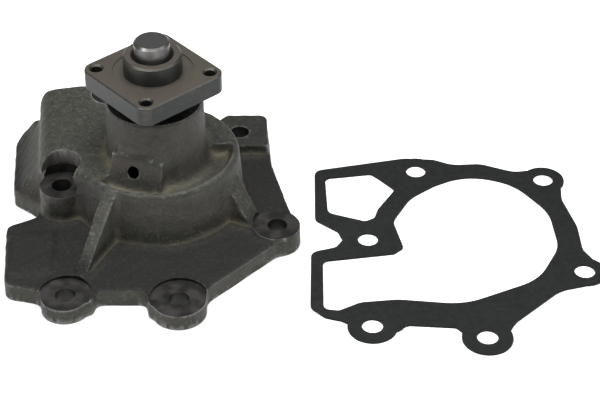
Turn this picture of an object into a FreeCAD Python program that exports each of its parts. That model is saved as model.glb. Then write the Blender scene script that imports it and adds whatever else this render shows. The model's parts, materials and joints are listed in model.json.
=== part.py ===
import FreeCAD, Part
import math
import os

# Belt-driven coolant pump, standing on its mounting face. Millimetres.
# Origin: the shaft axis in the plane of the mounting face. +Z runs up the shaft to the drive hub,
# +X to the right of the pump and -Y to its front, where the weep hole faces.

V = FreeCAD.Vector

# --- mounting flange -------------------------------------------------------------------------
PLATE_T = 8.6            # flange thickness
SPOT_T = 7.4             # height of the machined bolt seats on the two front lobes
BOLT_R = 4.5             # clearance holes for M8 bolts
# centre x, centre y, lobe radius, seat radius, seat height
BOLT_BACK_LEFT = (-24.0, 43.5, 11.0, 9.0, 34.2)
BOLT_BACK_RIGHT = (35.8, 42.5, 0.0, 0.0, 14.4)
BOLT_RIGHT = (54.2, -24.2, 10.6, 11.2, 10.0)
BOLT_FRONT = (12.4, -72.8, 12.2, 12.8, SPOT_T)
BOLT_FRONT_LEFT = (-36.8, -70.2, 11.0, 11.6, SPOT_T)
BOLT_LEFT = (-42.9, -10.6, 10.2, 10.5, 22.2)
BOLTS = (BOLT_BACK_LEFT, BOLT_BACK_RIGHT, BOLT_RIGHT, BOLT_FRONT, BOLT_FRONT_LEFT, BOLT_LEFT)

# outline corners of the flange: x, y, corner radius
OUTLINE = (
    (-54.8, -6.8, 1.5), (-54.8, -15.6, 1.5), (-68.0, -22.2, 4.5), (-64.2, -64.0, 6.0), (-49.5, -67.9, 4.0),
    (-40.0, -74.0, 2.0), (-24.6, -75.4, 1.6), (-23.4, -68.5, 1.2), (-2.2, -68.6, 1.0),
    (-0.9, -77.0, 1.5), (8.0, -77.5, 2.0), (24.4, -73.0, 2.0), (24.6, -66.8, 3.0),
    (54.4, -34.8, 3.0), (62.0, -17.0, 2.0), (58.6, -5.0, 8.0), (51.4, 25.0, 4.0),
    (48.8, 57.0, 4.0), (28.8, 57.0, 4.0), (23.5, 49.6, 4.0), (-14.0, 51.0, 4.0),
    (-38.0, 53.4, 6.0), (-71.2, 45.6, 6.0), (-67.6, 3.6, 4.5),
)

# --- casting: bell, bearing boss and duct block --------------------------------------------------
BELL_BASE_R = 40.8
BELL_R = 37.4
BELL_TOP = 35.5
BELL_EDGE_R = 3.1
BOSS_R = 22.6
BOSS_TOP_R = 22.0
BOSS_TOP = 62.0
GROOVE_FLOOR = 29.8
GROOVE_FROM, GROOVE_TO = -133.0, 6.0
BLOCK_TOP = 35.5
BLOCK_EDGE_R = 9.0
BLOCK_TURN = 5.0         # the block's left side is turned this far from the Y axis, degrees
BLOCK_BACK_R = 4.0
POCKET_R = 8.4           # cast recess in the block above the left bolt's seat
POCKET_Z = 27.6
LEDGE_Z, LEDGE_HIGH, LEDGE_IN = 7.6, 15.0, 4.6   # sloped foot of the block in the notch
TAB_FRONT_Y = 31.0
PLATEAU_T = 10.2

# --- passages ------------------------------------------------------------------------------------
VOLUTE_DEPTH = 5.2
CHAMBER_R = 32.0
CHAMBER_TOP = 25.4
DUCT_WALL = 3.4
# x, y, corner radius of the main opening and of the duct window in the mounting face
OPENING = (
    (-25.5, 22.5, 20.0), (-32.5, 4.0, 10.0), (-26.5, -15.0, 2.5), (-30.5, -19.6, 2.0),
    (-61.8, -28.0, 3.0), (-58.6, -61.0, 3.0), (-52.0, -61.5, 3.0), (-43.0, -55.0, 8.0),
    (-27.0, -51.5, 20.0), (2.0, -52.0, 30.0), (34.0, -32.0, 26.0), (43.0, -8.0, 24.0),
    (38.5, 18.0, 26.0), (22.0, 38.0, 26.0), (0.0, 43.5, 26.0), (-15.0, 33.0, 20.0),
)
WINDOW = (
    (-66.2, 34.0, 3.0), (-45.0, 39.6, 3.0), (-40.5, 35.6, 3.0), (-33.0, 28.0, 2.5),
    (-40.0, 12.0, 3.0), (-41.0, 5.6, 3.0), (-45.0, 2.6, 3.0), (-62.6, 7.4, 4.0),
)

# --- weep hole -----------------------------------------------------------------------------------
WEEP_ANGLE = -111.0
WEEP_PAD_ANGLE = -110.0
WEEP_TILT = 34.0
WEEP_Z = 38.6
WEEP_SEAT_R = 25.2
WEEP_R = 2.8

# --- shaft, bearing and drive hub -------------------------------------------------------------------
SHAFT_R = 7.96
SHAFT_BOTTOM = 4.5
SHAFT_TOP = 92.4
BEARING_R = 15.0
BEARING_Z = (35.0, 61.5)
RING_BORE_R = 12.42
PITCH_R = 10.19
BALL_R = 2.75
BALL_Z = 41.6
BALL_COUNT = 9
ROLLER_R = 2.2
ROLLER_Z = (48.6, 57.6)
ROLLER_COUNT = 12
RUN_GAP = 0.03           # clearance between rolling parts and their tracks
CAGE_GAP = 0.08
BEARING_SEAL_T = 1.6
HUB_Z = (67.7, 77.0)
HUB_BOSS_R = 13.0
HUB_BOSS_TOP = 85.5
HUB_NECK_R = 14.0
HUB_NECK_Z = 63.2
HUB_BOLT_R = 25.0
HUB_HALF = 23.1          # half the width across the square's flats
HUB_CORNER_R = 30.2      # the corners are turned to this radius about the shaft
HUB_TURN = -3.5          # the square flange is turned this far from the axes, degrees
HUB_HOLE_R = 2.55        # tapping size of M6
HUB_FACE_R = 18.0
HUB_FACE_DROP = 0.4
HUB_CHAMFER = 0.5
HUB_EDGE_R = 4.5

# --- impeller and shaft seal ----------------------------------------------------------------------------
IMPELLER_R = 29.6
IMPELLER_Z = (2.4, 16.0)
IMPELLER_PLATE_T = 2.6
IMPELLER_HUB_R = 12.0
VANE_COUNT = 6
VANE_T = 2.6
SEAL_BORE_R = 18.2
SEAL_BORE_Z = (19.5, 29.0)
SEAL_WALL_R = 22.5
WEEP_CAVITY_R = 13.5
CASE_T = 0.8
MATING_Z = (17.0, 20.0)
SEAL_GAP = 0.05
CARBON_TOP = 23.5
HOLDER_T = 0.6
SPRING_R = 15.0
SPRING_WIRE_R = 0.6
SPRING_QUARTERS = 7      # length of the spring in quarter turns

# --- gasket, lying beside the pump ---------------------------------------------------------------------------
GASKET_T = 0.8
GASKET_AT = (138.8, -16.4)
GASKET_TURN = -5.5
GASKET_HOLE_R = 4.6
GASKET_LOBES = (10.4, 9.8, 9.6, 11.0, 10.8)
# outer corners of the gasket, in the pump's own position: x, y, corner radius
GASKET_OUTLINE = (
    (-54.2, -12.0, 2.0), (-56.8, -17.6, 3.0), (-67.6, -22.4, 4.5), (-64.4, -60.6, 5.0),
    (-57.6, -66.4, 5.0), (-50.0, -68.0, 4.0), (-40.0, -74.0, 2.0), (-25.0, -72.6, 5.0),
    (-22.5, -68.0, 4.0), (-1.0, -67.6, 3.0), (3.0, -72.0, 5.0), (12.4, -76.0, 5.0),
    (21.0, -70.0, 4.0), (24.4, -61.6, 14.0), (43.4, -38.4, 16.0), (57.0, -33.0, 4.0),
    (60.0, -18.0, 6.0), (53.6, -9.0, 10.0), (51.4, 8.0, 26.0), (44.4, 28.0, 14.0),
    (44.0, 42.0, 4.0), (34.0, 50.6, 6.0), (22.0, 47.4, 10.0), (6.0, 52.4, 12.0),
    (-7.0, 50.2, 14.0), (-16.0, 53.6, 6.0), (-30.0, 53.4, 12.0), (-71.6, 39.4, 4.5),
    (-68.0, 1.6, 4.5), (-57.0, -6.0, 3.0),
)


def rounded_wire(corners, z=0.0):
    """Closed outline at height z: straight runs joined by tangent arcs at each corner."""
    edges = []
    count = len(corners)
    ends = []
    for i, (x, y, radius) in enumerate(corners):
        here = V(x, y, z)
        back = V(corners[i - 1][0], corners[i - 1][1], z) - here
        ahead = V(corners[(i + 1) % count][0], corners[(i + 1) % count][1], z) - here
        back.normalize()
        ahead.normalize()
        half = back.getAngle(ahead) / 2
        reach = radius / math.tan(half)
        inward = back + ahead
        inward.normalize()
        middle = here + inward * (radius / math.sin(half) - radius)
        ends.append((here + back * reach, middle, here + ahead * reach))
    for i, (start, middle, end) in enumerate(ends):
        edges.append(Part.Arc(start, middle, end).toShape())
        edges.append(Part.LineSegment(end, ends[(i + 1) % count][0]).toShape())
    return Part.Wire(edges)


def prism(corners, z_low, z_high):
    """Upright solid on a rounded outline."""
    return Part.Face(rounded_wire(corners, z_low)).extrude(V(0, 0, z_high - z_low))


def cylinder(radius, z_low, z_high, x=0.0, y=0.0):
    return Part.makeCylinder(radius, z_high - z_low, V(x, y, z_low))


def tube(r_in, r_out, z_low, z_high):
    return cylinder(r_out, z_low, z_high).cut(cylinder(r_in, z_low - 1, z_high + 1))


def turned(points, start=0.0, sweep=360.0):
    """Solid of revolution about Z. Each point is (r, z), or (r, z, r_mid, z_mid) for an arc to it."""
    edges = []
    last = V(points[0][0], 0, points[0][1])
    for point in list(points[1:]) + [points[0][:2]]:
        end = V(point[0], 0, point[1])
        if len(point) == 4:
            edges.append(Part.Arc(last, V(point[2], 0, point[3]), end).toShape())
        else:
            edges.append(Part.LineSegment(last, end).toShape())
        last = end
    face = Part.Face(Part.Wire(edges))
    face.rotate(V(0, 0, 0), V(0, 0, 1), start)
    return face.revolve(V(0, 0, 0), V(0, 0, 1), sweep)


def profile_block(points, y_low, y_high):
    """Solid with an (x, z) profile, carried along Y."""
    corners = [V(x, y_low, z) for x, z in points]
    face = Part.Face(Part.makePolygon(corners + corners[:1]))
    return face.extrude(V(0, y_high - y_low, 0))


def fused(first, *others):
    """One solid from several that touch or overlap."""
    return first.fuse(list(others)).removeSplitter()


def save(name, shape):
    shape.exportStep("parts/" + name + ".step")


def flange():
    """Mounting flange with its bolt lobes and the raised cover of the side channel."""
    plate = prism(OUTLINE, 0.0, PLATE_T)
    lobes = [cylinder(r, 0.0, max(PLATE_T, z), x, y) for x, y, r, _, z in BOLTS[2:5]]
    plateau = prism(((-65.9, -30.5, 2.0), (-63.4, -60.2, 2.0), (-44.2, -56.0, 2.0), (-44.6, -28.5, 2.0)),
                    PLATE_T - 1.0, PLATEAU_T)
    rim = [e for e in plateau.Edges if e.BoundBox.ZMin > PLATEAU_T - 0.01]
    plateau = plateau.makeChamfer(0.8, rim)
    tab = prism(((26.0, TAB_FRONT_Y, 1.0), (49.9, TAB_FRONT_Y, 1.0), (48.8, 57.0, 4.0), (28.8, 57.0, 4.0),
                 (24.0, 50.5, 3.0)), 0.0, BOLT_BACK_RIGHT[4])
    return fused(plate, plateau, tab, *lobes)


def bell():
    """Bell over the impeller with the bearing boss on top, turned as one shape."""
    edge = BELL_EDGE_R * (1 - math.sqrt(0.5))
    skirt_top = BELL_TOP - BELL_EDGE_R
    return turned((
        (0.0, 0.0), (BELL_BASE_R, 0.0), (BELL_BASE_R, PLATE_T),
        (BELL_R + 1.5, PLATE_T + 2.6, BELL_R + 2.1, PLATE_T + 0.9),
        (BELL_R, skirt_top),
        (BELL_R - BELL_EDGE_R, BELL_TOP, BELL_R - edge, BELL_TOP - edge),
        (BOSS_R, BELL_TOP), (BOSS_TOP_R, BOSS_TOP - 0.6), (BOSS_TOP_R - 0.6, BOSS_TOP), (0.0, BOSS_TOP)))


def groove():
    """Round-bottomed groove in the bell's top, across the front of the boss."""
    over = BELL_TOP + 1.0
    return turned((
        (BOSS_R + 0.1, over), (BOSS_R + 0.5, BELL_TOP - 1.0),
        (BOSS_R + 5.0, GROOVE_FLOOR, BOSS_R + 1.6, GROOVE_FLOOR + 1.5),
        (BOSS_R + 8.0, GROOVE_FLOOR),
        (BELL_R - 3.9, BELL_TOP - 1.6, BELL_R - 4.9, GROOVE_FLOOR + 1.2),
        (BELL_R - 3.2, over)), GROOVE_FROM, GROOVE_TO - GROOVE_FROM)


def duct_section(inset):
    """The block's cross-section carried along its own length, drawn in by a wall thickness."""
    low = -1.0 if inset else 0.0
    side = -54.0 + inset
    radius = BLOCK_EDGE_R - inset
    top = BLOCK_TOP - inset
    bend = radius * (1 - math.sqrt(0.5))
    y = -50.0
    arc = Part.Arc(V(side, y, top - radius), V(side + bend, y, top - bend), V(side + radius, y, top)).toShape()
    runs = Part.makePolygon([V(side + radius, y, top), V(30, y, top), V(30, y, low), V(-71, y, low),
                             V(-71, y, 7.2 - inset), V(-67 + inset / 2, y, 7.2 - inset),
                             V(-56.2 + inset, y, 19.2 - inset / 3), V(side, y, 22.0), V(side, y, top - radius)])
    section = Part.Face(Part.Wire([arc] + runs.Edges)).extrude(V(0, 120, 0))
    section.rotate(V(0, 0, 0), V(0, 0, 1), BLOCK_TURN)
    return section


def duct_block():
    """Tall block at the back left that carries the duct, sloped down to the flange's left edge."""
    plan = prism((
        (-71.2, 45.6, 6.0), (-67.6, 3.6, 3.0), (-54.8, -6.8, 1.0), (-51.0, -12.0, 1.0), (-44.0, -13.0, 1.0),
        (-34.0, -19.5, 2.0), (-20.5, -30.4, 1.0), (0.0, 0.0, 1.0), (0.0, 40.0, 1.0), (-11.5, 49.6, 4.0),
        (-24.0, 53.8, 9.0), (-40.0, 52.8, 6.0)), 0.0, BLOCK_TOP)
    plan = plan.cut(prism(((-80.0, 40.2, 0.5), (-80.0, 70.0, 0.5), (-36.0, 70.0, 0.5), (-36.0, 53.2, 0.5),
                           (-58.8, 53.2, 12.0), (-58.8, 40.2, 0.2)), 18.0, BLOCK_TOP + 1.0))
    top = [e for e in plan.Edges if e.BoundBox.ZMin > BLOCK_TOP - 0.01 and e.BoundBox.YMin > 39.0]
    plan = plan.makeFillet(BLOCK_BACK_R, top)
    return plan.common(duct_section(0.0)).cut(notch_slope())


def notch_slope():
    """What is cut off the block above its sloped foot in the notch."""
    start, end = V(-67.6, 3.6, 0), V(-54.8, -6.8, 0)
    along = end - start
    along.normalize()
    out = V(along.y, -along.x, 0)
    corner = start - along * 8.0
    profile = [corner + out * u + V(0, 0, z) for u, z in
               ((0.4, LEDGE_Z), (12.0, LEDGE_Z), (12.0, 60.0), (-LEDGE_IN, 60.0), (-LEDGE_IN, LEDGE_HIGH))]
    return Part.Face(Part.makePolygon(profile + profile[:1])).extrude(along * 27.0)


def left_bolt_boss():
    """Bolt boss in the notch, with a web to the bell behind it."""
    x, y, r, _, z = BOLT_LEFT
    boss = Part.makeCone(r + 0.4, r, z, V(x, y, 0))
    web = prism(((x, y + 9.0, 1.0), (x + 3.0, y - 5.0, 1.0), (x + 11.5, y - 8.0, 2.0), (-17.0, -27.0, 1.0),
                 (-17.0, -10.0, 1.0)), 0.0, z - 1.0)
    return fused(boss, web)


def gusset(foot, head, foot_half, head_half, z_foot, z_head, root):
    """Web whose top edge slopes from head down to foot. root is the point it springs from."""
    along = V(head[0] - foot[0], head[1] - foot[1], 0)
    along.normalize()
    side = V(-along.y, along.x, 0)
    a = V(foot[0], foot[1], 0)
    b = V(head[0], head[1], 0)
    c = V(root[0], root[1], 0)
    lift_a = V(0, 0, z_foot)
    lift_b = V(0, 0, z_head)
    sections = []
    for point, half, lift in ((a, foot_half, lift_a), (b, head_half, lift_b), (c, head_half, lift_b)):
        left = point + side * half
        right = point - side * half
        sections.append(Part.makePolygon([left, right, right + lift, left + lift, left]))
    return Part.makeLoft(sections, True, True)


def ribs():
    """The long sloping rib at the front left and the buttress to the right-hand bolt lobe."""
    left = gusset((-31.6, -60.0), (-19.4, -32.4), 2.9, 3.6, PLATE_T + 0.4, BELL_TOP - 1.4, (-12.6, -17.4))
    right = gusset((44.8, -21.4), (32.8, -14.8), 4.6, 5.6, PLATE_T + 1.0, BELL_TOP - 3.0, (20.0, -8.0))
    return left, right


def weep_pad():
    """Raised pad with a sloping face round the weep hole, and a narrower step beside it."""
    profile = ((BOSS_R - 4.0, 46.4), (BOSS_R + 1.2, 45.6), (BOSS_R + 5.2, GROOVE_FLOOR + 0.4),
               (BOSS_R + 5.2, GROOVE_FLOOR - 2.0), (BOSS_R - 4.0, GROOVE_FLOOR - 2.0))
    pads = []
    for low, high, drop in ((-11.5, 8.5, 0.0), (8.0, 12.8, 1.2)):
        pad = profile_block([(r - drop, z - drop) for r, z in profile], low, high)
        pad.rotate(V(0, 0, 0), V(0, 0, 1), WEEP_PAD_ANGLE)
        pads.append(pad)
    return pads


def weep_bore():
    """Drilling from the pad down to the cavity between the shaft seal and the bearing."""
    bore = Part.makeCylinder(WEEP_R, 19.0, V(WEEP_SEAT_R + 3.0, 0, 0), V(-1, 0, 0))
    bore.translate(V(-WEEP_SEAT_R, 0, 0))
    bore.rotate(V(0, 0, 0), V(0, 1, 0), -WEEP_TILT)
    bore.translate(V(WEEP_SEAT_R, 0, WEEP_Z))
    bore.rotate(V(0, 0, 0), V(0, 0, 1), WEEP_ANGLE)
    return bore


def passages():
    """Everything hollow: volute, impeller chamber, duct, seal bore, weep cavity and bearing bore."""
    volute = prism(OPENING, -1.0, VOLUTE_DEPTH)
    low = VOLUTE_DEPTH - 3.0
    chamber = turned(((SEAL_WALL_R, low), (CHAMBER_R, low), (CHAMBER_R, CHAMBER_TOP - 4.0),
                      (CHAMBER_R - 4.0, CHAMBER_TOP, CHAMBER_R - 1.2, CHAMBER_TOP - 1.2),
                      (SEAL_WALL_R, CHAMBER_TOP)))
    centre = cylinder(SEAL_WALL_R, -1.0, SEAL_BORE_Z[0])
    duct = prism(WINDOW, -1.0, BLOCK_TOP).common(duct_section(DUCT_WALL))
    link = prism(((-46.0, 30.0, 3.0), (-20.0, 30.0, 3.0), (-24.0, 10.0, 3.0), (-46.0, 10.0, 3.0)),
                 12.0, CHAMBER_TOP)
    seal = cylinder(SEAL_BORE_R, SEAL_BORE_Z[0] - 1.0, SEAL_BORE_Z[1])
    cavity = cylinder(WEEP_CAVITY_R, SEAL_BORE_Z[1] - 1.0, BEARING_Z[0] + 1.0)
    bearing = cylinder(BEARING_R, BEARING_Z[0], BOSS_TOP + 1.0)
    return [volute, chamber, centre, duct, link, seal, cavity, bearing, weep_bore()]


def bolt_cuts():
    """Bolt holes, and the round seats cut above them."""
    cuts = []
    for x, y, _, seat, z in BOLTS:
        cuts.append(cylinder(BOLT_R, -1.0, BOSS_TOP, x, y))
        if (x, y) == BOLT_LEFT[:2]:
            cuts.append(cylinder(seat, z, POCKET_Z, x, y))
            cuts.append(cylinder(POCKET_R, z, BOSS_TOP, x + 0.6, y))
        elif seat:
            cuts.append(cylinder(seat, z, BOSS_TOP, x, y))
    return cuts


def housing():
    body = fused(flange(), bell(), duct_block(), left_bolt_boss(), *ribs())
    body = body.cut([groove()])
    body = fused(body, *weep_pad())
    return body.cut(bolt_cuts() + passages()).removeSplitter()


def gasket():
    """Flat gasket that matches the mounting face, laid beside the pump."""
    lobes = [cylinder(r, 0.0, GASKET_T, bolt[0], bolt[1]) for r, bolt in zip(GASKET_LOBES, BOLTS)]
    sheet = fused(prism(GASKET_OUTLINE, 0.0, GASKET_T), *lobes)
    holes = [cylinder(GASKET_HOLE_R, -1.0, 2.0, x, y) for x, y, _, _, _ in BOLTS]
    sheet = sheet.cut([prism(OPENING, -1.0, 2.0), prism(WINDOW, -1.0, 2.0)] + holes).removeSplitter()
    sheet.rotate(V(0, 0, 0), V(0, 0, 1), GASKET_TURN)
    sheet.translate(V(GASKET_AT[0], GASKET_AT[1], 0))
    return sheet


def drive_hub():
    """Square pulley flange with four tapped holes, its centring boss and the neck below."""
    spread = HUB_HALF * math.sqrt(2)
    corners = []
    for k in range(4):
        angle = math.radians(HUB_TURN + 90.0 * k)
        corners.append((spread * math.cos(angle), spread * math.sin(angle), 0.2))
    plate = prism(corners, *HUB_Z).common(cylinder(HUB_CORNER_R, *HUB_Z))
    plate = plate.makeFillet(HUB_EDGE_R, [e for e in plate.Edges if e.BoundBox.ZLength > HUB_CHAMFER])
    plate = plate.makeChamfer(HUB_CHAMFER, [e for e in plate.Edges if e.BoundBox.ZLength < HUB_CHAMFER])
    plate = plate.cut(tube(HUB_BOSS_R, HUB_FACE_R, HUB_Z[1] - HUB_FACE_DROP, HUB_Z[1] + 1.0))
    boss = turned(((0.0, HUB_NECK_Z), (HUB_NECK_R, HUB_NECK_Z), (HUB_NECK_R, HUB_Z[0] + 1.0),
                   (HUB_BOSS_R, HUB_Z[0] + 1.0), (HUB_BOSS_R, HUB_BOSS_TOP - 0.8),
                   (HUB_BOSS_R - 0.8, HUB_BOSS_TOP), (SHAFT_R + 1.6, HUB_BOSS_TOP),
                   (SHAFT_R, HUB_BOSS_TOP - 1.6), (0.0, HUB_BOSS_TOP - 1.6)))
    hub = fused(plate, boss)
    cuts = [cylinder(SHAFT_R, HUB_NECK_Z - 1.0, HUB_BOSS_TOP + 1.0)]
    for k in range(4):
        angle = math.radians(HUB_TURN + 90.0 * k)
        x = HUB_BOLT_R * math.cos(angle)
        y = HUB_BOLT_R * math.sin(angle)
        cuts.append(cylinder(HUB_HOLE_R, HUB_Z[0] - 1.0, HUB_Z[1] + 1.0, x, y))
        cuts.append(Part.makeCone(HUB_HOLE_R, HUB_HOLE_R + 0.8, 0.8, V(x, y, HUB_Z[1] - 0.8)))
    return hub.cut(cuts)


def pump_shaft():
    """Hardened shaft with a ball track ground into it."""
    shaft = turned(((0.0, SHAFT_BOTTOM), (SHAFT_R - 0.8, SHAFT_BOTTOM), (SHAFT_R, SHAFT_BOTTOM + 0.8),
                    (SHAFT_R, SHAFT_TOP - 1.0), (SHAFT_R - 1.0, SHAFT_TOP), (0.0, SHAFT_TOP)))
    return shaft.cut(Part.makeTorus(PITCH_R, BALL_R + RUN_GAP, V(0, 0, BALL_Z)))


def bearing_outer_ring():
    low, high = BEARING_Z
    ring = turned(((RING_BORE_R, low), (BEARING_R - 0.6, low), (BEARING_R, low + 0.6), (BEARING_R, high - 0.6),
                   (BEARING_R - 0.6, high), (RING_BORE_R, high)))
    recess = RING_BORE_R + 0.8
    return ring.cut([Part.makeTorus(PITCH_R, BALL_R + RUN_GAP, V(0, 0, BALL_Z)),
                     cylinder(recess, low - 1.0, low + BEARING_SEAL_T),
                     cylinder(recess, high - BEARING_SEAL_T, high + 1.0)])


def bearing_seal(z_low):
    """Lip seal in one end of the bearing, just clear of the turning shaft."""
    inner = SHAFT_R + RUN_GAP
    z_high = z_low + BEARING_SEAL_T
    return turned(((inner, z_low + 0.5), (inner + 0.8, z_low + 0.2), (RING_BORE_R - 1.0, z_low + 0.2),
                   (RING_BORE_R - 0.6, z_low), (RING_BORE_R + 0.8, z_low), (RING_BORE_R + 0.8, z_high),
                   (inner + 0.6, z_high), (inner, z_high - 0.5)))


def around(shape, count):
    """Copies of a shape spaced evenly about Z."""
    copies = []
    for k in range(count):
        copy = shape.copy()
        copy.rotate(V(0, 0, 0), V(0, 0, 1), 360.0 * k / count)
        copies.append(copy)
    return copies


def bearing_balls():
    return Part.makeCompound(around(Part.makeSphere(BALL_R, V(PITCH_R, 0, BALL_Z)), BALL_COUNT))


def ball_cage():
    pockets = around(Part.makeSphere(BALL_R + CAGE_GAP, V(PITCH_R, 0, BALL_Z)), BALL_COUNT)
    return tube(PITCH_R - 0.9, PITCH_R + 0.9, BALL_Z - 2.1, BALL_Z + 3.6).cut(pockets)


def bearing_rollers():
    roller = cylinder(ROLLER_R - RUN_GAP, ROLLER_Z[0], ROLLER_Z[1], PITCH_R)
    return Part.makeCompound(around(roller, ROLLER_COUNT))


def roller_cage():
    low, high = ROLLER_Z
    pocket = cylinder(ROLLER_R + CAGE_GAP, low - CAGE_GAP, high + CAGE_GAP, PITCH_R)
    return tube(PITCH_R - 0.8, PITCH_R + 0.8, low - 1.4, high + 1.4).cut(around(pocket, ROLLER_COUNT))


def slinger():
    """Dished washer on the shaft that throws leaked coolant towards the weep hole."""
    return turned(((SHAFT_R, 31.0), (SHAFT_R + 2.5, 31.0), (12.2, 32.2), (12.2, 33.0), (SHAFT_R + 2.3, 31.9),
                   (SHAFT_R, 31.9)))


def impeller():
    """Open impeller: back plate, hub and swept vanes on the engine side."""
    low, high = IMPELLER_Z
    body = fused(cylinder(IMPELLER_R, high - IMPELLER_PLATE_T, high), cylinder(IMPELLER_HUB_R, low + 1.6, high))
    outer = Part.makeCylinder(34.0, high - low - 1.0, V(-19.0, 17.0, low))
    inner = Part.makeCylinder(34.0 - VANE_T, high - low, V(-19.0, 17.0, low - 0.5))
    reach = tube(IMPELLER_HUB_R - 1.0, IMPELLER_R, low, high - 1.0)
    half = Part.makeBox(60.0, 42.0, 40.0, V(0, -2.0, -5.0))
    vane = outer.cut(inner).common(reach).common(half)
    body = fused(body, *around(vane, VANE_COUNT))
    return body.cut([cylinder(SHAFT_R, low - 1.0, high + 1.0)])


def seal_case():
    """Pressed cup that holds the stationary half of the shaft seal in the housing."""
    low, high = SEAL_BORE_Z
    return turned(((SEAL_BORE_R, low), (SEAL_BORE_R + 2.2, low), (SEAL_BORE_R + 2.2, low - CASE_T),
                   (SEAL_BORE_R - CASE_T, low - CASE_T), (SEAL_BORE_R - CASE_T, high - CASE_T),
                   (10.4, high - CASE_T), (10.4, high), (SEAL_BORE_R, high)))


def seal_carbon_ring():
    return tube(9.9, 12.6, MATING_Z[1] + SEAL_GAP, CARBON_TOP)


def seal_ring_holder():
    """Thin cup round the carbon ring, with a flange for the spring to press on."""
    return turned(((12.6, 20.9), (13.2, 20.9), (13.2, CARBON_TOP), (16.4, CARBON_TOP),
                   (16.4, CARBON_TOP + HOLDER_T), (9.9, CARBON_TOP + HOLDER_T), (9.9, CARBON_TOP),
                   (12.6, CARBON_TOP)))


def seal_bellows():
    """Rubber bellows between the ring holder and the case."""
    low = CARBON_TOP + HOLDER_T
    high = SEAL_BORE_Z[1] - CASE_T
    middle = (low + high) / 2
    return turned(((10.4, low), (12.6, low), (12.6, low + 0.9), (13.4, middle, 13.2, middle - 0.5),
                   (12.6, high - 0.9, 13.2, middle + 0.5), (12.6, high), (10.4, high), (10.4, high - 0.9),
                   (11.6, middle, 11.2, middle + 0.6), (10.4, low + 0.9, 11.2, middle - 0.6)))


def seal_spring():
    """Wire spring that keeps the carbon ring against the mating ring, joined from quarter turns."""
    low = CARBON_TOP + HOLDER_T + SPRING_WIRE_R + 0.02
    high = SEAL_BORE_Z[1] - CASE_T - SPRING_WIRE_R - 0.02
    rise = (high - low) / SPRING_QUARTERS
    slope = math.atan2(4 * rise, 2 * math.pi * SPRING_R)
    sections = []
    for k in range(9):
        along = V(0, math.cos(slope), math.sin(slope))
        section = Part.Wire(Part.makeCircle(SPRING_WIRE_R, V(SPRING_R, 0, low + rise * k / 8), along))
        section.rotate(V(0, 0, 0), V(0, 0, 1), 90.0 * k / 8)
        sections.append(section)
    quarter = Part.makeLoft(sections, True, True)
    quarters = []
    for k in range(SPRING_QUARTERS):
        piece = quarter.copy()
        piece.rotate(V(0, 0, 0), V(0, 0, 1), 90.0 * k)
        piece.translate(V(0, 0, rise * k))
        quarters.append(piece)
    return quarters[0].fuse(quarters[1:])


def mating_ring():
    return tube(9.6, 14.0, MATING_Z[0], MATING_Z[1])


def mating_ring_boot():
    """Rubber cup that grips the shaft and drives the mating ring."""
    low = IMPELLER_Z[1]
    return turned(((SHAFT_R, low), (14.8, low), (14.8, 19.2), (14.0, 19.2), (14.0, MATING_Z[0]),
                   (9.6, MATING_Z[0]), (9.6, 19.2), (SHAFT_R, 19.2)))


os.makedirs("parts", exist_ok=True)
save("housing", housing())
save("bearing_outer_ring", bearing_outer_ring())
save("front_bearing_seal", bearing_seal(BEARING_Z[1] - BEARING_SEAL_T))
save("rear_bearing_seal", bearing_seal(BEARING_Z[0]))
save("seal_case", seal_case())
save("seal_bellows", seal_bellows())
save("seal_spring", seal_spring())
save("seal_ring_holder", seal_ring_holder())
save("seal_carbon_ring", seal_carbon_ring())
save("pump_shaft", pump_shaft())
save("drive_hub", drive_hub())
save("impeller", impeller())
save("mating_ring", mating_ring())
save("mating_ring_boot", mating_ring_boot())
save("slinger", slinger())
save("bearing_balls", bearing_balls())
save("ball_cage", ball_cage())
save("bearing_rollers", bearing_rollers())
save("roller_cage", roller_cage())
save("gasket", gasket())
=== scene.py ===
import json
import math

import bmesh
import bpy
import numpy as np
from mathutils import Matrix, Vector


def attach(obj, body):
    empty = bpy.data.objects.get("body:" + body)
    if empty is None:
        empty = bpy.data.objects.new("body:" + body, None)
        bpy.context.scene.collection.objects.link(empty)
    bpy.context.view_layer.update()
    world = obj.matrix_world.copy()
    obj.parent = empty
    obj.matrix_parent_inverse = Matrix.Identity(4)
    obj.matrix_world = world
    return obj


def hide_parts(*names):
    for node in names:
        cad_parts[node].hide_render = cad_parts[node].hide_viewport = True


# A coolant pump on its mounting face, with its gasket lying beside it. Metres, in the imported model's frame.

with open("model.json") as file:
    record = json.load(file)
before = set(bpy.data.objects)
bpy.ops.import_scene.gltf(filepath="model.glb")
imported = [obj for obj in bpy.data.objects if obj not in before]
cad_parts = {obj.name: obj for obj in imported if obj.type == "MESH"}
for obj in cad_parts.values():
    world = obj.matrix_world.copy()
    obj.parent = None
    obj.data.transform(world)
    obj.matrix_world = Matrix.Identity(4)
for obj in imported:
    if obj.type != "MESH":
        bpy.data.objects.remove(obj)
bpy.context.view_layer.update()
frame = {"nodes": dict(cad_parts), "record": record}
nodes = frame["nodes"]
mounts = {mount["name"]: mount for mount in frame["record"]["mounts"]}

MM = 0.001
TURN = 2 * math.pi

# --- the casting ---------------------------------------------------------------------------------------------
GRID = 0.8 * MM            # spacing of the casting's surface points before it is thinned
STOCK = 4.0 * MM           # material left on the mounting face and the bosses for machining
EDGE_STEPS = 5             # rounding of every cast edge
FILLET_STEPS = 20          # filling of the inside corners only
WAVINESS = 0.10 * MM       # how far the sand mould's surface strays
TRIANGLES = 150000
SHARP = math.radians(38)

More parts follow.
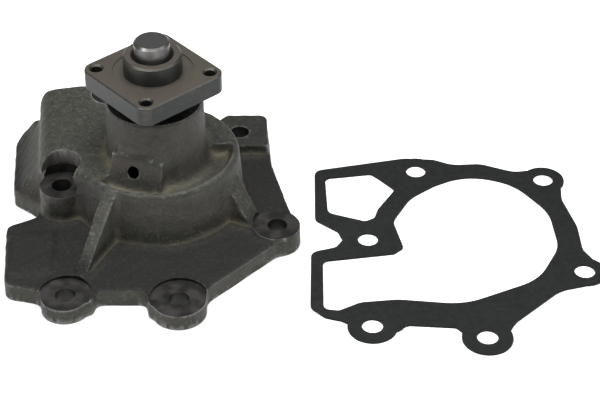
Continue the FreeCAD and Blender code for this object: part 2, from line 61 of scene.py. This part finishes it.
BOSS_TOP = 62.0 * MM
BEARING_R, BEARING_LOW = 15.0 * MM, 35.0 * MM
CAVITY_R, CAVITY_LOW = 13.5 * MM, 28.0 * MM
SEAL_R, SEAL_LOW, SEAL_TOP = 18.2 * MM, 18.5 * MM, 29.0 * MM
SEAL_WALL_R, SEAL_WALL_TOP = 22.5 * MM, 19.5 * MM
MOUTH_PLUG_R = 20.6 * MM       # fills the boss's mouth before its top is faced
FACING_R = 24.0 * MM           # cutter that faces the boss's top
PLUG_GROWTH = 1.0 * MM         # how much wider than its bore each plug is
SLAB_HALF = 0.2                # half the width of the block that faces the underside
WEEP_R = 2.8 * MM
WEEP_ANGLE, WEEP_TILT = math.radians(-111.0), math.radians(34.0)
WEEP_SEAT = 25.2 * MM, 38.6 * MM
POCKET_R, POCKET_LOW, POCKET_OFFSET = 8.8 * MM, 27.6 * MM, 0.6 * MM   # as-cast clearance above the left bolt's seat
# bolt hole: radius of its round seat, radius of the boss below it, height of the cutter; 0 for a hole with no seat
SEATS = {
    "bolt_hole_back_left": (9.0, 8.4, 30.0),
    "bolt_hole_back_right": (0.0, 7.0, 0.0),
    "bolt_hole_right": (11.2, 10.5, 30.0),
    "bolt_hole_front": (12.8, 12.0, 30.0),
    "bolt_hole_front_left": (11.6, 10.8, 30.0),
    "bolt_hole_left": (10.5, 10.0, 5.4),
}


class Field:
    """A value that varies over a surface. Arithmetic on it adds Math nodes to its material."""

    def __init__(self, paint, socket):
        self.paint = paint
        self.socket = socket

    def math(self, operation, *values):
        return self.paint.node("ShaderNodeMath", {"operation": operation}, dict(enumerate(values)))

    def __add__(self, other):
        return self.math("ADD", self, other)

    def __radd__(self, other):
        return self.math("ADD", other, self)

    def __sub__(self, other):
        return self.math("SUBTRACT", self, other)

    def __rsub__(self, other):
        return self.math("SUBTRACT", other, self)

    def __mul__(self, other):
        return self.math("MULTIPLY", self, other)

    def __rmul__(self, other):
        return self.math("MULTIPLY", other, self)

    def __pow__(self, other):
        return self.math("POWER", self, other)

    def lowest(self, other):
        return self.math("MINIMUM", self, other)

    def between(self, low, high):
        """0 below low, 1 above high, with a smooth step from one to the other; low may be the larger."""
        return self.paint.node("ShaderNodeMapRange", {"interpolation_type": "SMOOTHSTEP"},
                               {"Value": self, "From Min": low, "From Max": high})


class Paint:
    """A material being made: a Principled shader, its constants, and the nodes that feed it."""

    def __init__(self, name, **constants):
        self.material = bpy.data.materials.new(name)
        self.material.use_nodes = True
        self.tree = self.material.node_tree
        self.tree.nodes.clear()
        self.shader = self.tree.nodes.new("ShaderNodeBsdfPrincipled")
        output = self.tree.nodes.new("ShaderNodeOutputMaterial")
        self.tree.links.new(self.shader.outputs["BSDF"], output.inputs["Surface"])
        for socket, value in constants.items():
            self.shader.inputs[socket.replace("_", " ")].default_value = value
        self.place = self.node("ShaderNodeTexCoord", out="Object")
        split = self.node("ShaderNodeSeparateXYZ", inputs={"Vector": self.place})
        self.x, self.y, self.z = (Field(self, split.socket.node.outputs[axis]) for axis in "XYZ")

    def node(self, kind, settings=None, inputs=None, out=0):
        made = self.tree.nodes.new(kind)
        for name, value in (settings or {}).items():
            setattr(made, name, value)
        for name, value in (inputs or {}).items():
            self.feed(made.inputs[name], value)
        return Field(self, made.outputs[out])

    def feed(self, socket, value):
        if isinstance(value, Field):
            self.tree.links.new(value.socket, socket)
        else:
            socket.default_value = value

    def noise(self, size, detail=2.0, roughness=0.5, at=None):
        """Cloudy noise, 0 to 1, with features of about size metres."""
        return self.node("ShaderNodeTexNoise", None,
                         {"Vector": at or self.place, "Scale": 1 / size, "Detail": detail, "Roughness": roughness})

    def cells(self, size):
        """Distance to the nearest of a set of scattered points about size metres apart, in units of size."""
        return self.node("ShaderNodeTexVoronoi", None, {"Vector": self.place, "Scale": 1 / size})

    def point(self, x, y, z):
        return self.node("ShaderNodeCombineXYZ", None, {"X": x, "Y": y, "Z": z})

    def radius(self):
        """Distance from the shaft's axis."""
        return (self.x * self.x + self.y * self.y) ** 0.5

    def facing_up(self):
        """The surface normal's Z."""
        normal = self.node("ShaderNodeNewGeometry", out="Normal")
        split = self.node("ShaderNodeSeparateXYZ", None, {"Vector": normal})
        return Field(self, split.socket.node.outputs["Z"])

    def attribute(self, name):
        return self.node("ShaderNodeAttribute", {"attribute_name": name}, out="Fac")

    def mix(self, factor, first, second):
        """Colour from first, at factor 0, to second, at 1."""
        return self.node("ShaderNodeMix", {"data_type": "RGBA"}, {0: factor, 6: first, 7: second}, out=2)

    def bump(self, height, distance, strength=1.0):
        """Sends a height field, in units of distance metres, to the shader's normal."""
        self.feed(self.shader.inputs["Normal"],
                  self.node("ShaderNodeBump", None, {"Strength": strength, "Distance": distance, "Height": height}))

    def finish(self, colour, roughness):
        self.feed(self.shader.inputs["Base Color"], colour)
        self.feed(self.shader.inputs["Roughness"], roughness)
        return self.material


def grey(value, warm=0.0):
    """A linear colour near grey; warm raises red and lowers blue by that share."""
    return (value * (1 + warm), value, value * (1 - warm), 1.0)


def cast_iron_skin():
    """Dark grey iron from the sand: grains, mottling, brown patches; worn edges with a painted highlight; brown
    hollows with painted light; painted light on walls, painted shade on low tops.
    """
    paint = Paint("cast_iron_skin", Metallic=0.2, Specular_IOR_Level=0.3)
    grain = paint.noise(0.55 * MM, 3.0, 0.6)
    speckle = paint.noise(1.4 * MM, 2.0, 0.6)
    mottle = paint.noise(3.5 * MM, 4.0, 0.6)
    patches = paint.noise(22 * MM, 3.0)
    pits = paint.cells(4.2 * MM).between(0.16, 0.05)
    rubbed = paint.attribute("rubbed")
    sheltered = paint.attribute("sheltered")
    colour = paint.mix(mottle.between(0.3, 0.75), (0.022, 0.023, 0.018, 1.0), (0.042, 0.043, 0.034, 1.0))
    colour = paint.mix(patches.between(0.5, 0.72) * 0.5, colour, (0.042, 0.037, 0.026, 1.0))
    colour = paint.mix(grain.between(0.56, 0.74) * 0.55, colour, grey(0.115, 0.06))
    colour = paint.mix(grain.between(0.42, 0.24) * 0.6, colour, grey(0.011))
    colour = paint.mix(speckle.between(0.56, 0.70) * 0.5, colour, grey(0.10, 0.08))
    # painted light: hollows and fillets turn light yellow-brown, partly a deposit and partly standing in for light
    # caught on the fillets
    colour = paint.mix((sheltered * (0.4 + patches)).lowest(1.0) * 0.8, colour, (0.15, 0.132, 0.088, 1.0))
    # painted highlight: convex edges turn pale grey, partly real wear and partly a painted highlight on rims and
    # edges
    colour = paint.mix((rubbed * (0.4 + mottle)).lowest(1.0) * 0.85, colour, grey(0.21, 0.02))
    colour = paint.mix(pits * 0.5, colour, grey(0.01))
    up = paint.facing_up()
    # painted light: upright faces above the plate are made lighter, standing in for light falling on the walls
    walls_painted_light = up.between(0.55, 0.1) * paint.z.between(12 * MM, 20 * MM)
    colour = paint.mix(walls_painted_light * (0.25 + mottle * 0.3), colour, grey(0.09, 0.06))
    # painted shade: low faces looking up are made near black, standing in for the shade and dark reflection on the
    # plate
    low_tops_painted_dark = up.between(0.4, 0.8) * paint.z.between(19 * MM, 11 * MM)
    colour = paint.mix(low_tops_painted_dark * (1.05 - speckle * 0.4), colour, grey(0.005))
    height = grain * 0.5 + speckle * 0.7 + mottle * 0.7 - pits * 0.5
    paint.bump(height, 0.34 * MM, 0.9)
    return paint.finish(colour, 0.42 + grain * 0.22 + mottle * 0.1 + low_tops_painted_dark * 0.15 - rubbed * 0.12)


def cut_iron():
    """Iron where a cutter has been: smooth, darker with oil, with faint rings about the shaft's axis."""
    paint = Paint("cut_iron", Metallic=0.7)
    stain = paint.noise(6 * MM, 3.0)
    fleck = paint.noise(0.45 * MM, 2.0)
    swirl = paint.noise(0.35 * MM, 1.0, 0.5, paint.point(paint.radius(), paint.z, 0.0))
    colour = paint.mix(stain.between(0.35, 0.7), grey(0.022, 0.03), grey(0.05, 0.05))
    colour = paint.mix(fleck.between(0.6, 0.8) * 0.4, colour, grey(0.014))
    paint.bump(swirl * 0.6 + fleck * 0.4, 0.03 * MM, 0.5)
    return paint.finish(colour, 0.30 + stain * 0.22)


def turned_steel():
    """The hub: lathe-turned faces with fine rings; a brown film on top painted lighter, and blue-grey sides painted
    darker as painted shade for their dark reflections.
    """
    paint = Paint("turned_steel", Metallic=0.85)
    up = paint.facing_up()
    flat = up.between(0.6, 0.95)
    radius = paint.radius()
    rings = paint.noise(0.22 * MM, 2.0, 0.6, paint.point(radius, paint.z * (1 - flat), 0.0))
    film = paint.noise(9 * MM, 3.0)
    fleck = paint.noise(0.7 * MM, 3.0, 0.6)
    # painted light and shade: faces looking up get a lighter brown film colour, upright sides a darker blue-grey
    # standing in for their dark reflections
    colour = paint.mix(flat, (0.042, 0.046, 0.045, 1.0), (0.135, 0.12, 0.098, 1.0))
    colour = paint.mix(film.between(0.45, 0.75) * 0.5, colour, (0.085, 0.077, 0.06, 1.0))
    colour = paint.mix(rings.between(0.5, 0.8) * 0.5, colour, grey(0.20, 0.04))
    colour = paint.mix(fleck.between(0.62, 0.82) * 0.5, colour, grey(0.025))
    paint.bump(rings * 0.7 + fleck * 0.5, 0.07 * MM, 0.6)
    return paint.finish(colour, 0.30 + film * 0.18 + fleck * 0.08)


def ground_steel(name, tone, roughness):
    """Ground steel: fine marks round the axis and a thin uneven film of oil."""
    paint = Paint(name, Metallic=0.95)
    marks = paint.noise(0.3 * MM, 2.0, 0.6, paint.point(paint.radius(), paint.z, 0.0))
    film = paint.noise(5 * MM, 2.0)
    colour = paint.mix(marks, grey(tone * 0.8, 0.01), grey(tone, 0.01))
    colour = paint.mix(film.between(0.5, 0.8) * 0.4, colour, grey(tone * 0.55, 0.08))
    paint.bump(marks, 0.02 * MM, 0.4)
    return paint.finish(colour, roughness + film * 0.15)


def plain_stuff(name, first, second, grain, roughness, height, **constants):
    """A moulded or sintered material: two close colours clouded together, with a fine surface grain."""
    paint = Paint(name, **constants)
    cloud = paint.noise(grain * 6, 3.0)
    fine = paint.noise(grain, 2.0)
    paint.bump(fine, height, 0.6)
    return paint.finish(paint.mix(cloud.between(0.35, 0.65), first, second), roughness + fine * 0.12)


def gasket_sheet():
    """Coated fibre sheet: near black, with short pale fibres and a faint mottle."""
    paint = Paint("gasket_sheet", Specular_IOR_Level=0.22)
    mottle = paint.noise(2.6 * MM, 4.0, 0.65)
    fibre = paint.noise(0.5 * MM, 3.0, 0.7)
    handled = paint.noise(30 * MM, 2.0)
    colour = paint.mix(mottle.between(0.3, 0.7), (0.004, 0.005, 0.005, 1.0), (0.008, 0.0095, 0.0092, 1.0))
    colour = paint.mix(fibre.between(0.6, 0.8) * 0.45, colour, (0.026, 0.028, 0.028, 1.0))
    colour = paint.mix(handled.between(0.5, 0.8) * 0.35, colour, (0.013, 0.0145, 0.0148, 1.0))
    paint.bump(fibre * 0.6 + mottle * 0.5, 0.06 * MM, 0.6)
    return paint.finish(colour, 0.62 + fibre * 0.18)


def turned_shell(profile, at=(0.0, 0.0), count=96):
    """Closed surface of revolution: each (radius, height) of the profile is carried round the upright line at."""
    radius, height = np.array(profile).T
    angle = np.arange(count) / count * TURN
    x = at[0] + radius[:, None] * np.cos(angle)
    y = at[1] + radius[:, None] * np.sin(angle)
    points = np.stack([x, y, np.broadcast_to(height[:, None], x.shape)], -1).reshape(-1, 3)
    row, column = np.meshgrid(np.arange(len(radius) - 1), np.arange(count), indexing="ij")
    after = (column + 1) % count
    faces = np.stack([row * count + column, row * count + after,
                      (row + 1) * count + after, (row + 1) * count + column], -1).reshape(-1, 4)
    return points, faces


def rod(radius, low, high, at=(0.0, 0.0)):
    """Closed cylinder standing between two heights."""
    return turned_shell(((0, low), (radius, low), (radius, high), (0, high)), at)


def drill(radius, start, end):
    """Closed cylinder along any line: a standing rod whose frame is swung onto the line."""
    start, end = Vector(start), Vector(end)
    points, faces = rod(radius, 0.0, (end - start).length)
    swing = (end - start).to_track_quat("Z", "Y").to_matrix()
    return points @ np.array(swing).T + np.array(start), faces


def slab(half, low, high):
    """Closed square block centred on the axis."""
    square = (-half, -half), (half, -half), (half, half), (-half, half)
    corners = np.array([(x, y, z) for z in (low, high) for x, y in square])
    faces = np.array([(3, 2, 1, 0), (4, 5, 6, 7), (0, 1, 5, 4), (1, 2, 6, 5), (2, 3, 7, 6), (3, 0, 4, 7)])
    return corners, faces


def mesh_object(name, parts, material=None):
    """One object from several closed shells, with doubled points merged and faces turned outwards."""
    bm = bmesh.new()
    for points, faces in parts:
        made = [bm.verts.new(p) for p in points]
        for face in faces:
            bm.faces.new([made[k] for k in face])
    bmesh.ops.remove_doubles(bm, verts=bm.verts, dist=1e-7)
    bmesh.ops.recalc_face_normals(bm, faces=bm.faces)
    mesh = bpy.data.meshes.new(name)
    bm.to_mesh(mesh)
    bm.free()
    if material:
        mesh.materials.append(material)
    piece = bpy.data.objects.new(name, mesh)
    bpy.context.scene.collection.objects.link(piece)
    return piece


def node_shell(node):
    """The points and faces of a CAD node, with its loose triangles merged at their corners."""
    bm = bmesh.new()
    bm.from_mesh(nodes[node].data)
    bmesh.ops.remove_doubles(bm, verts=bm.verts, dist=1e-6)
    points = np.array([v.co for v in bm.verts])
    faces = [[v.index for v in face.verts] for face in bm.faces]
    bm.free()
    return points, faces


def apply_modifier(piece, kind, **settings):
    """Adds one modifier, applies it and leaves the piece with the finished mesh."""
    modifier = piece.modifiers.new(kind.lower(), kind)
    for name, value in settings.items():
        setattr(modifier, name, value)
    finished = bpy.data.meshes.new_from_object(piece.evaluated_get(bpy.context.evaluated_depsgraph_get()))
    piece.modifiers.clear()
    piece.data = finished


def mesh_arrays(mesh):
    points = np.empty(len(mesh.vertices) * 3)
    mesh.vertices.foreach_get("co", points)
    edges = np.empty(len(mesh.edges) * 2, int)
    mesh.edges.foreach_get("vertices", edges)
    return points.reshape(-1, 3), edges.reshape(-1, 2)


def mesh_normals(mesh):
    normals = np.empty(len(mesh.vertices) * 3)
    mesh.vertex_normals.foreach_get("vector", normals)
    return normals.reshape(-1, 3)


def neighbour_mean(values, edges):
    """For each point, the mean of values over the points that share an edge with it."""
    count = len(values)
    degree = np.bincount(edges.ravel(), minlength=count)
    a, b = edges.T
    columns = [np.bincount(a, v[b], count) + np.bincount(b, v[a], count) for v in values.reshape(count, -1).T]
    return (np.stack(columns, -1) / np.maximum(degree, 1)[:, None]).reshape(values.shape)


def soften(mesh):
    """Rounds cast edges, then fills inside corners, then strays like a sand mould.

    Rounding moves each point half way to its neighbours' mean, again and again. Filling does the same only where
    the mean lies outside the surface. The stray is a sum of sine waves in set directions, always inwards along the
    normal, so the casting stays within its CAD size."""
    points, edges = mesh_arrays(mesh)
    for _ in range(EDGE_STEPS):
        points += 0.5 * (neighbour_mean(points, edges) - points)
    mesh.vertices.foreach_set("co", points.ravel())
    mesh.update()
    normals = mesh_normals(mesh)
    for _ in range(FILLET_STEPS):
        move = neighbour_mean(points, edges) - points
        outward = (move * normals).sum(1) > 0
        points[outward] += 0.5 * move[outward]
    directions = np.random.default_rng(4).normal(size=(9, 3))
    waves = np.sin(points @ directions.T * 400 + np.arange(9)).sum(1) / 3
    points += normals * ((waves - waves.max()) * WAVINESS)[:, None]
    mesh.vertices.foreach_set("co", points.ravel())
    mesh.update()


def mark_wear_and_painted_light(mesh):
    """Stores how far each point stands out from its neighbours or lies below them, 0 to 1; the skin paints the
    first as wear with a painted highlight, the second as a deposit with painted light.
    """
    points, edges = mesh_arrays(mesh)
    normals = mesh_normals(mesh)
    length = np.linalg.norm(points[edges[:, 0]] - points[edges[:, 1]], axis=1)
    spacing = neighbour_mean_of_edges(length, edges, len(points))
    out = ((points - neighbour_mean(points, edges)) * normals).sum(1) / np.maximum(spacing, 1e-6)
    for _ in range(2):
        out = 0.5 * (out + neighbour_mean(out, edges))
    hollow = -out
    for _ in range(10):
        hollow = 0.5 * (hollow + neighbour_mean(hollow, edges))
    marks = {"rubbed": np.clip((out - 0.05) * 7, 0, 1), "sheltered": np.clip((hollow - 0.01) * 14, 0, 1)}
    for name, value in marks.items():
        mesh.attributes.new(name, "FLOAT", "POINT").data.foreach_set("value", value.astype(np.float32))


def neighbour_mean_of_edges(length, edges, count):
    """For each point, the mean length of the edges that meet there."""
    a, b = edges.T
    total = np.bincount(a, length, count) + np.bincount(b, length, count)
    return total / np.maximum(np.bincount(edges.ravel(), minlength=count), 1)


def weep_line(inner, outer):
    """The ends of the weep drilling, measured out from its seat on the pad."""
    out = np.array((math.cos(WEEP_ANGLE) * math.cos(WEEP_TILT), math.sin(WEEP_ANGLE) * math.cos(WEEP_TILT),
                    math.sin(WEEP_TILT)))
    seat = np.array((WEEP_SEAT[0] * math.cos(WEEP_ANGLE), WEEP_SEAT[0] * math.sin(WEEP_ANGLE), WEEP_SEAT[1]))
    return seat - out * inner, seat + out * outer


def bolt_holes():
    """Each bolt hole's place, radius, seat height, seat radius, boss radius and cutter height."""
    for name, (seat, boss, reach) in SEATS.items():
        mount = mounts[name]
        x, y, middle = mount["pos_m"]
        length = mount["dims"]["length_mm"] * MM
        yield (x, y), mount["dims"]["r_mm"] * MM, middle + length / 2, seat * MM, boss * MM, reach * MM


def rough_casting():
    """The casting before machining: holes plugged and faces left proud, remeshed evenly and softened."""
    points, faces = node_shell("housing")
    points[points[:, 2] < 1e-5, 2] = -STOCK
    plugs = [rod(CAVITY_R + PLUG_GROWTH, -STOCK, BOSS_TOP),
             rod(BEARING_R + PLUG_GROWTH, BEARING_LOW - PLUG_GROWTH, BOSS_TOP + STOCK),
             rod(MOUTH_PLUG_R, BOSS_TOP - PLUG_GROWTH, BOSS_TOP + STOCK),
             rod(SEAL_R + PLUG_GROWTH, SEAL_WALL_TOP + PLUG_GROWTH, SEAL_TOP),
             drill(WEEP_R + 0.6 * MM, *weep_line(9 * MM, -0.7 * MM))]
    for at, _, top, seat, boss, _ in bolt_holes():
        plugs.append(rod(boss, -STOCK, top + (2 * MM if seat else -0.3 * MM), at))
    casting = mesh_object("housing_casting", [(points, faces)] + plugs)
    apply_modifier(casting, "REMESH", mode="VOXEL", voxel_size=GRID)
    soften(casting.data)
    apply_modifier(casting, "DECIMATE", ratio=min(1.0, TRIANGLES / (2 * len(casting.data.polygons))))
    return casting


def machining(material, rough):
    """What is cut away: the mounting face, boss top, bores, seats and drillings; and one pocket left as cast."""
    cuts = [slab(SLAB_HALF, -2 * STOCK, 0.0), rod(FACING_R, BOSS_TOP, BOSS_TOP + 2 * STOCK),
            rod(BEARING_R, BEARING_LOW, BOSS_TOP + STOCK), rod(CAVITY_R, CAVITY_LOW, BEARING_LOW + STOCK),
            rod(SEAL_R, SEAL_LOW, SEAL_TOP), rod(SEAL_WALL_R, -STOCK, SEAL_WALL_TOP),
            drill(WEEP_R, *weep_line(13 * MM, 6 * MM))]
    for at, radius, top, seat, _, reach in bolt_holes():
        cuts.append(rod(radius, -STOCK, BOSS_TOP, at))
        if seat:
            cuts.append(rod(seat, top, top + reach, at))
    x, y = mounts["bolt_hole_left"]["pos_m"][:2]
    pocket = mesh_object("cutter", [rod(POCKET_R, POCKET_LOW, BOSS_TOP, (x + POCKET_OFFSET, y))], rough)
    return [pocket] + [mesh_object("cutter", [part], material) for part in cuts]


def finished_casting(skin, cut):
    """The rough casting with the machining cut out of it; cut faces carry their own finish."""
    casting = rough_casting()
    casting.data.materials.clear()
    casting.data.materials.append(skin)
    for cutter in machining(cut, skin):
        apply_modifier(casting, "BOOLEAN", operation="DIFFERENCE", solver="MANIFOLD", object=cutter,
                       material_mode="TRANSFER")
        bpy.data.objects.remove(cutter)
    mesh = casting.data
    mesh.polygons.foreach_set("use_smooth", np.ones(len(mesh.polygons), bool))
    mesh.set_sharp_from_angle(angle=SHARP)
    mark_wear_and_painted_light(mesh)
    return casting


def set_finish(node, material):
    """Gives a CAD node its material."""
    nodes[node].data.materials.clear()
    nodes[node].data.materials.append(material)


skin = cast_iron_skin()
cut = cut_iron()
casting = finished_casting(skin, cut)
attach(casting, "pump_body")
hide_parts("housing")

shaft_steel = ground_steel("ground_shaft_steel", 0.17, 0.27)
bearing_steel = ground_steel("bearing_steel_finish", 0.55, 0.2)
hub_steel = turned_steel()
rubber = plain_stuff("seal_rubber_finish", grey(0.018), grey(0.03), 0.4 * MM, 0.55, 0.03 * MM)
brass = plain_stuff("seal_brass_finish", (0.62, 0.45, 0.2, 1), (0.5, 0.35, 0.16, 1), 0.5 * MM, 0.28, 0.01 * MM,
                    Metallic=1.0)
carbon = plain_stuff("seal_carbon_finish", grey(0.03), grey(0.05), 0.3 * MM, 0.35, 0.01 * MM)
ceramic = plain_stuff("seal_ceramic_finish", grey(0.72, 0.03), grey(0.64, 0.05), 0.3 * MM, 0.25, 0.005 * MM)
polymer = plain_stuff("cage_polymer_finish", (0.3, 0.25, 0.17, 1), (0.24, 0.2, 0.13, 1), 0.5 * MM, 0.42, 0.02 * MM)

for node, material in {
    "pump_shaft": shaft_steel, "drive_hub": hub_steel, "slinger": hub_steel, "impeller": skin,
    "bearing_outer_ring": bearing_steel, "bearing_balls": bearing_steel, "bearing_rollers": bearing_steel,
    "front_bearing_seal": rubber, "rear_bearing_seal": rubber, "seal_bellows": rubber, "mating_ring_boot": rubber,
    "seal_case": brass, "seal_ring_holder": brass, "seal_spring": shaft_steel, "seal_carbon_ring": carbon,
    "mating_ring": ceramic, "ball_cage": polymer, "roller_cage": polymer, "gasket": gasket_sheet(),
}.items():
    set_finish(node, material)


# --- floor, light and camera ---------------------------------------------------------------------------------
def floor_finish():
    paint = Paint("pale_floor", Specular_IOR_Level=0.1)
    cloud = paint.noise(0.4, 2.0)
    return paint.finish(paint.mix(cloud, grey(0.90), grey(0.93)), 0.9)


FLOOR_HALF, FLOOR_DROP = 3.0, 0.2 * MM      # the floor lies just below the mounting face
floor_corners = [(x * FLOOR_HALF, y * FLOOR_HALF, -FLOOR_DROP) for x, y in ((-1, -1), (1, -1), (1, 1), (-1, 1))]
floor = mesh_object("pale_floor", [(np.array(floor_corners), np.array([(0, 1, 2, 3)]))], floor_finish())


def softbox(name, place, aim, size, power):
    """A square area light at place, turned towards aim."""
    light = bpy.data.lights.new(name, "AREA")
    light.size = size
    light.energy = power
    lamp = bpy.data.objects.new(name, light)
    lamp.location = place
    lamp.rotation_euler = (Vector(aim) - Vector(place)).to_track_quat("-Z", "Y").to_euler()
    bpy.context.scene.collection.objects.link(lamp)


softbox("overhead_softbox", (0.05, -0.05, 1.0), (0.05, -0.02, 0.0), 0.6, 15.0)
softbox("front_left_softbox", (-0.49, -0.29, 0.82), (0.0, 0.0, 0.04), 0.22, 3.0)
softbox("right_softbox", (0.85, -0.2, 0.6), (0.05, 0.0, 0.05), 0.3, 2.5)

world = bpy.data.worlds.new("pale_room")
bpy.context.scene.world = world
world.use_nodes = True
world.node_tree.nodes["Background"].inputs["Color"].default_value = (1.0, 1.0, 1.0, 1.0)
world.node_tree.nodes["Background"].inputs["Strength"].default_value = 0.22
bpy.context.scene.view_settings.view_transform = "Standard"

camera = bpy.data.objects.new("camera", bpy.data.cameras.new("camera"))
camera.data.lens = 120.0
camera.data.sensor_width = 36.0
camera.location = (0.0644, -0.7336, 0.5586)
camera.rotation_euler = (math.radians(53.0), 0.0, 0.0)
bpy.context.scene.collection.objects.link(camera)
bpy.context.scene.camera = camera
